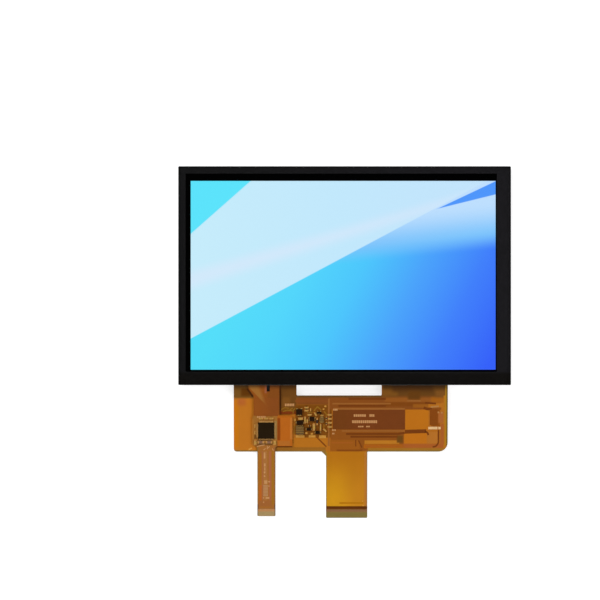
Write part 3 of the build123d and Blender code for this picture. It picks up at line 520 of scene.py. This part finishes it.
def plating(name, middle, reach, cover_end, cover_tone, change, near, far, edge):
    """Plated strips that start below a cover film, change shade once, and darken at the tail's sides."""
    made = Finish(name, Metallic=0.3)
    shade = made.mix(made.rise(made.drop, change - 0.4, change + 0.4), tone(near), tone(far))
    shade = made.mix(made.rise(made.drop, cover_end - 0.15, cover_end + 0.15), tone(cover_tone), shade)
    shade = made.mix(made.rise(abs(made.x - middle), reach - 0.5, reach), shade, tone(edge))
    made.wire(Base_Color=made.wear(shade, 0.08, 1.5), Roughness=made.cloud(3.0) * 0.15 + 0.35)
    return made


main_plating = plating(
    "main_plating", middle=1.1, reach=10.3, cover_end=61.9, cover_tone="#6A3A14", change=63.3,
    near="#A2744E", far="#968244", edge="#746638",
)
touch_plating = plating(
    "touch_plating", middle=-38.8, reach=4.4, cover_end=61.5, cover_tone="#A06634", change=63.0,
    near="#D89C64", far="#C4A672", edge="#6A5244",
)
dress(main_plating, "main_contact_strips")
dress(touch_plating, "touch_contact_strips")
dress(
    plain("pad_plating", "#CE9238", rough=0.35, drift=0.25, grain=0.8, bump=0, Metallic=0.3),
    "part_pads", "touch_part_pads",
)
dress(
    plain("controller_plating", "#E4B064", rough=0.35, drift=0.25, grain=0.8, bump=0, Metallic=0.3),
    "controller_pads",
)
dress(plain("ceramic", "#B08632", rough=0.5, drift=0.35, grain=0.7), "capacitors", "touch_capacitors")
dress(plain("resistor_glaze", "#241410", rough=0.35, drift=0.3, grain=0.8), "resistors")
dress(plain("brown_glaze", "#80583C", rough=0.4, drift=0.3, grain=0.8), "touch_resistors")
dress(
    plain("plated_ends", "#CE9650", rough=0.3, drift=0.3, grain=0.9, Metallic=0.4),
    "chip_ends", "touch_chip_ends",
)
dress(plain("leads", "#D0A65C", rough=0.3, drift=0.2, grain=1.5, Metallic=0.4), "part_leads", "coil_ends")
dress(
    plain("chip_resin", "#241305", rough=0.5, drift=0.15, grain=3.0, Specular_IOR_Level=0.06),
    "moulded_chips", "moulded_diode",
)
dress(
    plain("controller_resin", "#221606", rough=0.45, drift=0.25, grain=0.15, Specular_IOR_Level=0.05),
    "controller_chip",
)


def coil_resin():
    """Olive moulding over the winding, whose turns show as pale stripes."""
    half_turn = 0.45
    made = Finish("coil_resin", Specular_IOR_Level=0.3)
    stripes = made.node("ShaderNodeMath", {"operation": "PINGPONG"}, made.y, half_turn) / half_turn
    shade = made.mix(made.rise(stripes, 0.55, 0.95), tone("#5A3E16"), tone("#98742E"))
    made.wire(Base_Color=made.wear(shade, 0.15, 1.0), Roughness=made.cloud(2.0) * 0.15 + 0.45)
    return made.relief(stripes, 0.03)


dress(coil_resin(), "storage_coil")
dress(plain("solder", "#F2C890", rough=0.3, drift=0.1, grain=1.0, bump=0.05, Metallic=0.3), "lamp_solder")


# Tracks, printed marks, and painted shadow and highlight lines, laid on the films

def track_nodes():
    """Geometry nodes that turn drawn lines into flat strips lying on the film below them."""
    above_all = 20 * MM
    corner_steps = 6
    group = bpy.data.node_groups.new("tracks_on_film", "GeometryNodeTree")
    kinds = {
        "Lines": "Geometry",
        "Film": "Object",
        "Thickness": "Float",
        "Lift": "Float",
        "Bend Radius": "Float",
        "Step": "Float",
        "Finish": "Material",
    }
    keys = {}
    for name, kind in kinds.items():
        made = group.interface.new_socket(name, in_out="INPUT", socket_type="NodeSocket" + kind)
        keys[name] = made.identifier
    group.interface.new_socket("Tracks", in_out="OUTPUT", socket_type="NodeSocketGeometry")
    tree = Tree(group)
    lines, film_below, thickness, lift, bend, step, finish = tree.node("NodeGroupInput", take=tuple(kinds))
    curve = tree.node("GeometryNodeMeshToCurve", {}, lines)
    curve = tree.node("GeometryNodeFilletCurve", {"mode": "POLY"}, curve, corner_steps, bend, True)
    curve = tree.node("GeometryNodeResampleCurve", {"mode": "LENGTH"}, curve, Length=step)
    curve = tree.node("GeometryNodeSetCurveNormal", {"mode": "Z_UP"}, curve)
    breadth = tree.node("GeometryNodeInputNamedAttribute", {"data_type": "FLOAT"}, "breadth")
    section = tree.node("GeometryNodeCurvePrimitiveQuadrilateral", {"mode": "RECTANGLE"}, 1.0, 1.0)
    strip = tree.node("GeometryNodeCurveToMesh", {}, curve, section, breadth, True)
    place = tree.node("GeometryNodeInputPosition")
    x, y, z = tree.node("ShaderNodeSeparateXYZ", {}, place, take=("X", "Y", "Z"))
    relative = {"transform_space": "RELATIVE"}
    ground = tree.node("GeometryNodeObjectInfo", relative, film_below, take="Geometry")
    start = tree.node("ShaderNodeCombineXYZ", {}, x, y, above_all)
    hit = tree.node("GeometryNodeRaycast", {}, ground, Source_Position=start, take="Hit Position")
    level = tree.node("ShaderNodeSeparateXYZ", {}, hit, take="Z")
    # The upper side of a strip, drawn above z = 0, comes to lie a thickness above its lower side.
    laid = tree.node("ShaderNodeCombineXYZ", {}, x, y, level + lift + (z > 0.0) * thickness)
    strip = tree.node("GeometryNodeSetPosition", {}, strip, Position=laid)
    strip = tree.node("GeometryNodeSetShadeSmooth", {}, strip, Shade_Smooth=False)
    strip = tree.node("GeometryNodeRealizeInstances", {}, strip)
    strip = tree.node("GeometryNodeSetMaterial", {}, strip, Material=finish)
    done = group.nodes.new("NodeGroupOutput")
    group.links.new(strip.socket, done.inputs[0])
    return group, keys


track_group, track_keys = track_nodes()
track_thickness = 0.02


def lay_tracks(name, film_name, finish, lines, lift=0.005, bend=1.5, step=0.6):
    """Makes one piece of strips. Each line is its width, then its points as x and drop."""
    points, edges, breadths = [], [], []
    for width, *route in lines:
        edges += [(len(points) + i, len(points) + i + 1) for i in range(len(route) - 1)]
        points += [(x * MM, (glass_edge - drop) * MM, 0) for x, drop in route]
        breadths += [width * MM] * len(route)
    mesh = bpy.data.meshes.new(name + "_lines")
    mesh.from_pydata(points, edges, [])
    mesh.attributes.new("breadth", "FLOAT", "POINT").data.foreach_set("value", breadths)
    drawn = bpy.data.objects.new(name + "_lines", mesh)
    bpy.context.scene.collection.objects.link(drawn)
    modifier = drawn.modifiers.new("tracks", "NODES")
    modifier.node_group = track_group
    inputs = {
        "Film": nodes[film_name],
        "Thickness": track_thickness * MM,
        "Lift": lift * MM,
        "Bend Radius": bend * MM,
        "Step": step * MM,
        "Finish": finish.material,
    }
    for key, value in inputs.items():
        modifier[track_keys[key]] = value
    evaluated = drawn.evaluated_get(bpy.context.evaluated_depsgraph_get())
    whole = bpy.data.meshes.new_from_object(evaluated)
    bpy.data.objects.remove(drawn)
    piece = bpy.data.objects.new(name, whole)
    bpy.context.scene.collection.objects.link(piece)
    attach(piece, "root")


def track_finish(name, code):
    """Film drawn tight over a copper track; the same finish also makes the painted shadow and highlight
    lines.
    """
    made = Finish(name, Specular_IOR_Level=0.12)
    made.wire(
        Base_Color=made.wear(tone(code), 0.12, 0.15, film_richness),
        Roughness=made.cloud(0.9) * 0.15 + 0.34,
    )
    return made


dark_track = track_finish("dark_track", "#733A0E")
mid_track = track_finish("mid_track", "#A35A1E")
light_track = track_finish("light_track", "#985E2A")
pale_track = track_finish("pale_track", "#B07A42")
# Painted shadow: dark lines where the touch circuit's edges shadow the main circuit.
painted_shadow_line = track_finish("painted_shadow_line", "#4A2606")
gold_line = track_finish("gold_line", "#94691F")
# Partly painted highlight: pale lines for small bright marks on the tail, and for the lit lower left edge
# of the touch circuit.
bright_mark_and_highlight_line = track_finish("bright_mark_and_highlight_line", "#DC9C48")
mark_ink = plain("mark_ink", "#C0884E", rough=0.55, drift=0.12, grain=0.8)
soft_ink = plain("soft_ink", "#B2804E", rough=0.55, drift=0.12, grain=0.8)

lay_tracks("main_dark_tracks", "main_flex", dark_track, (
    (1.0, (2.0, 6.9), (20.5, 6.9)),
    (0.9, (-3.0, 10.4), (20.5, 10.4)),
    (1.3, (39.3, 11.3), (41.0, 12.0), (43.4, 12.0)),
    (0.9, (40.0, 8.9), (45.4, 9.3)),
    (1.0, (0.8, 24.4), (26.4, 24.4), (29.9, 23.9)),
    (1.9, (29.9, 23.3), (40.6, 23.0)),
    (0.9, (40.2, 23.3), (41.4, 23.3), (41.6, 25.0)),
    (0.9, (3.0, 25.8), (26.4, 25.8)),
    (0.8, (46.7, 22.4), (46.7, 28.8), (45.6, 30.5), (43.8, 30.9)),
    (0.5, (5.6, 27.4), (5.6, 30.6)),
    (0.6, (7.0, 27.6), (8.6, 31.2)),
    (0.6, (-13.9, 25.9), (-9.0, 30.8)),
))
# Painted shadows of the touch circuit's left and right edges, laid on the main circuit.
lay_tracks("main_shade_lines", "main_flex", painted_shadow_line, (
    (0.9, (-48.3, 1.9), (-45.5, 5.8)),
    (0.5, (-31.9, 2.0), (-31.9, 12.4)),
))
# The first two lines are small bright marks on the tail; the last is a painted highlight along the touch
# circuit's lower left edge.
lay_tracks("main_bright_lines", "main_flex", bright_mark_and_highlight_line, (
    (0.7, (8.7, 57.8), (9.5, 57.8)),
    (0.6, (8.9, 60.1), (9.7, 60.1)),
    (0.6, (-47.6, 32.2), (-46.0, 31.5)),
))
lay_tracks("main_gold_lines", "main_flex", gold_line, (
    (0.5, (-15.2, 12.9), (-13.4, 10.7), (-11.5, 12.6)),
    (0.35, (-31.4, 12.2), (-29.6, 11.3), (-27.6, 11.6)),
    (0.35, (-30.6, 13.3), (-28.4, 12.5), (-26.0, 12.9)),
    (0.35, (-27.2, 12.4), (-25.6, 11.4)),
    (0.4, (-25.5, 14.2), (-25.5, 12.6), (-24.4, 11.6)),
    (0.4, (-24.4, 20.0), (-24.9, 21.2), (-24.9, 24.6)),
    (0.4, (-18.6, 13.7), (-16.0, 13.6)),
    (0.4, (-10.2, 13.2), (-9.0, 14.4), (-9.0, 15.4)),
    (0.4, (-10.2, 19.6), (-10.2, 21.2)),
), bend=0.3, step=0.3)
lay_tracks("main_red_tracks", "main_flex", mid_track, (
    (0.8, (30.0, 30.6), (10.5, 30.6)),
    (0.7, (-6.4, 28.8), (4.0, 28.8)),
))
lay_tracks("main_light_tracks", "main_flex", light_track, (
    (0.9, (-5.5, 11.9), (29.9, 11.9)),
    (0.7, (-6.0, 9.3), (23.0, 9.3)),
    (0.6, (-1.3, 22.9), (29.9, 22.9)),
    (0.8, (-7.8, 6.8), (-7.8, 30.4)),
    (0.7, (31.0, 7.9), (38.0, 7.9)),
))
lay_tracks("main_pale_tracks", "main_flex", pale_track, (
    (0.4, (45.9, 12.6), (45.9, 19.8)),
    (0.9, (46.2, 13.6), (47.0, 13.6)),
    (0.9, (47.9, 13.8), (48.7, 13.8)),
    (0.8, (42.8, 11.0), (46.8, 10.6)),
))

contact_pitch = 0.5
strip_width = 0.3
# Film drawn over a track stands up from the rest; its colour is painted this much brighter, as a painted
# highlight on the raised film.
track_highlight_level = 1.08


def tail_lines(contact_node, tail_top, inset):
    """One line up the tail above each contact strip, from an inset before the strip to the tail's top."""
    low, high = [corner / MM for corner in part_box(contact_node)]
    count = round((high.x - low.x - strip_width) / contact_pitch) + 1
    start = glass_edge - high.y - inset
    middles = [low.x + strip_width / 2 + contact_pitch * i for i in range(count)]
    return [(strip_width, (x, start), (x, tail_top)) for x in middles]


# Brighter copies of the films, carrying the painted highlight of film over the tail tracks.
main_raised = film("main_film_over_tracks", main_ground, main_areas, track_highlight_level)
touch_raised = film("touch_film_over_tracks", touch_ground, touch_areas, track_highlight_level)
main_tail_lines = tail_lines("main_contact_strips", tail_top=33.4, inset=1.7)
touch_tail_lines = tail_lines("touch_contact_strips", tail_top=32.0, inset=0.4)
lay_tracks("main_tail_tracks", "main_flex", main_raised, main_tail_lines)
lay_tracks("touch_tail_tracks", "touch_flex", touch_raised, touch_tail_lines)

dash_share = 0.78


def dashes(height, left, right, drop, count):
    """A row of short plain marks, in place of a printed word."""
    pitch = (right - left) / count
    starts = [left + pitch * i for i in range(count)]
    return [(height, (start, drop), (start + pitch * dash_share, drop)) for start in starts]


lay_tracks("main_marks", "main_flex", mark_ink, (
    *dashes(1.3, -29.6, -24.8, 9.9, 6),
    *dashes(0.9, -5.6, -3.3, 12.3, 3),
    *dashes(0.8, -6.2, -4.2, 22.5, 3),
    *dashes(0.8, -6.1, -4.9, 24.2, 2),
), lift=0.04, step=0.2)
lay_tracks("copper_marks", "main_copper", mark_ink, (
    *dashes(1.2, 4.6, 10.8, 15.2, 6),
    *dashes(1.2, 12.4, 15.0, 15.2, 3),
    *dashes(1.4, 3.8, 16.4, 18.3, 12),
    *dashes(0.7, 6.8, 9.6, 20.7, 3),
    *dashes(0.7, 10.8, 12.8, 20.7, 2),
), step=0.2)
lay_tracks("touch_marks", "touch_flex", mark_ink, (
    *dashes(0.9, -43.4, -39.0, 15.9, 5),
    (0.8, (-39.7, 33.6), (-39.7, 36.6)),
    (0.8, (-39.6, 39.0), (-39.6, 40.6)),
    (0.6, (-39.6, 41.0), (-39.6, 42.6)),
    (0.8, (-39.7, 43.0), (-39.7, 44.0)),
    (0.7, (-39.7, 45.0), (-39.7, 45.8)),
    (1.7, (-39.9, 48.4), (-38.3, 48.4)),
    (0.7, (-37.9, 48.2), (-37.0, 48.2)),
    (0.6, (-37.8, 50.4), (-37.2, 50.4)),
    (0.9, (-39.2, 56.3), (-37.3, 56.3)),
    (0.6, (-40.6, 56.3), (-39.9, 56.3)),
    (0.6, (-40.5, 58.4), (-39.9, 58.4)),
    (0.5, (-43.5, 30.6), (-39.7, 29.8)),
    (0.4, (-38.3, 30.3), (-38.4, 32.0)),
    (0.4, (-38.0, 31.4), (-37.2, 30.5)),
    (0.4, (-40.2, 32.4), (-39.2, 31.5)),
    (0.4, (-35.8, 31.6), (-35.3, 32.8)),
), lift=0.04, step=0.2)
rung_drops = [50.1 + 0.72 * i for i in range(8)]
rungs = [(0.5, (-40.4, drop), (-38.0, drop)) for drop in rung_drops]
lay_tracks("touch_soft_marks", "touch_flex", soft_ink, rungs, lift=0.04, step=0.2)


# Floor, light and camera

floor_reach = 6.0
floor_grey = 0.5
# The floor's own light for the camera and reflections, which makes its lit paint white.
floor_glow = 0.72


def stage_floor():
    """A wide pale floor that the camera and reflections see as white, apart from the object's shadow."""
    mesh = bpy.data.meshes.new("floor")
    sides = ((-1, -1), (1, -1), (1, 1), (-1, 1))
    corners = [(x * floor_reach, y * floor_reach, 0) for x, y in sides]
    mesh.from_pydata(corners, [], [(0, 1, 2, 3)])
    made = bpy.data.objects.new("floor", mesh)
    bpy.context.scene.collection.objects.link(made)
    paint = (floor_grey, floor_grey, floor_grey, 1.0)
    pale = Finish("floor_paint", Base_Color=paint, Roughness=1.0, Specular_IOR_Level=0.0)
    seen = pale.node("ShaderNodeLightPath", take=("Is Camera Ray", "Is Glossy Ray", "Is Transmission Ray"))
    glow = seen[0].most(seen[1]).most(seen[2]) * floor_glow
    pale.wire(Emission_Color=pale.node("ShaderNodeCombineColor", {}, glow, glow, glow))
    pale.shader.inputs["Emission Strength"].default_value = 1.0
    mesh.materials.append(pale.material)


def soft_lamp(name, place, aim, size, watts):
    """A large lamp that faces a point."""
    lamp = bpy.data.lights.new(name, "AREA")
    lamp.shape = "RECTANGLE"
    lamp.size, lamp.size_y = size
    lamp.energy = watts
    made = bpy.data.objects.new(name, lamp)
    made.location = place
    made.rotation_euler = (Vector(aim) - Vector(place)).to_track_quat("-Z", "Y").to_euler()
    bpy.context.scene.collection.objects.link(made)


def studio_world():
    """White round the horizon for the camera, and for light and reflections darker overhead."""
    world = bpy.data.worlds.new("studio")
    world.use_nodes = True
    bpy.context.scene.world = world
    tree = Tree(world.node_tree)
    way = tree.node("ShaderNodeTexCoord", take="Generated")
    height = tree.node("ShaderNodeSeparateXYZ", {}, way, take="Z")
    grey = tree.node("ShaderNodeValToRGB", {"stops": ((0.25, "#CBCBCB"), (0.95, "#242424"))}, height)
    seen = tree.mix(tree.node("ShaderNodeLightPath", take="Is Camera Ray"), grey, (1, 1, 1, 1))
    plug(world.node_tree, seen, world.node_tree.nodes["Background"].inputs["Color"])


stage_floor()
studio_world()
soft_lamp("key", place=(-0.95, 0.75, 1.15), aim=(0, -0.02, 0), size=(0.9, 0.9), watts=18)
soft_lamp("fill", place=(1.0, -0.35, 1.2), aim=(0, -0.02, 0), size=(1.2, 1.2), watts=10)
soft_lamp("front", place=(-0.1, -1.3, 0.9), aim=(0, -0.03, 0), size=(1.4, 0.7), watts=5)

# What the photo spans at the height of the lens's face, and where its middle lies.
photo_width = 297.06 * MM
photo_middle = (-22.1 * MM, -12.05 * MM)
camera_height = 1.5
lens_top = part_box("cover_lens")[1].z
camera = bpy.data.cameras.new("camera")
camera.sensor_width = 36.0
camera.lens = camera.sensor_width * camera_height / photo_width
camera.clip_end = 50.0
eye = bpy.data.objects.new("camera", camera)
eye.location = (*photo_middle, lens_top + camera_height)
bpy.context.scene.collection.objects.link(eye)
bpy.context.scene.camera = eye
bpy.context.scene.view_settings.view_transform = "Standard"
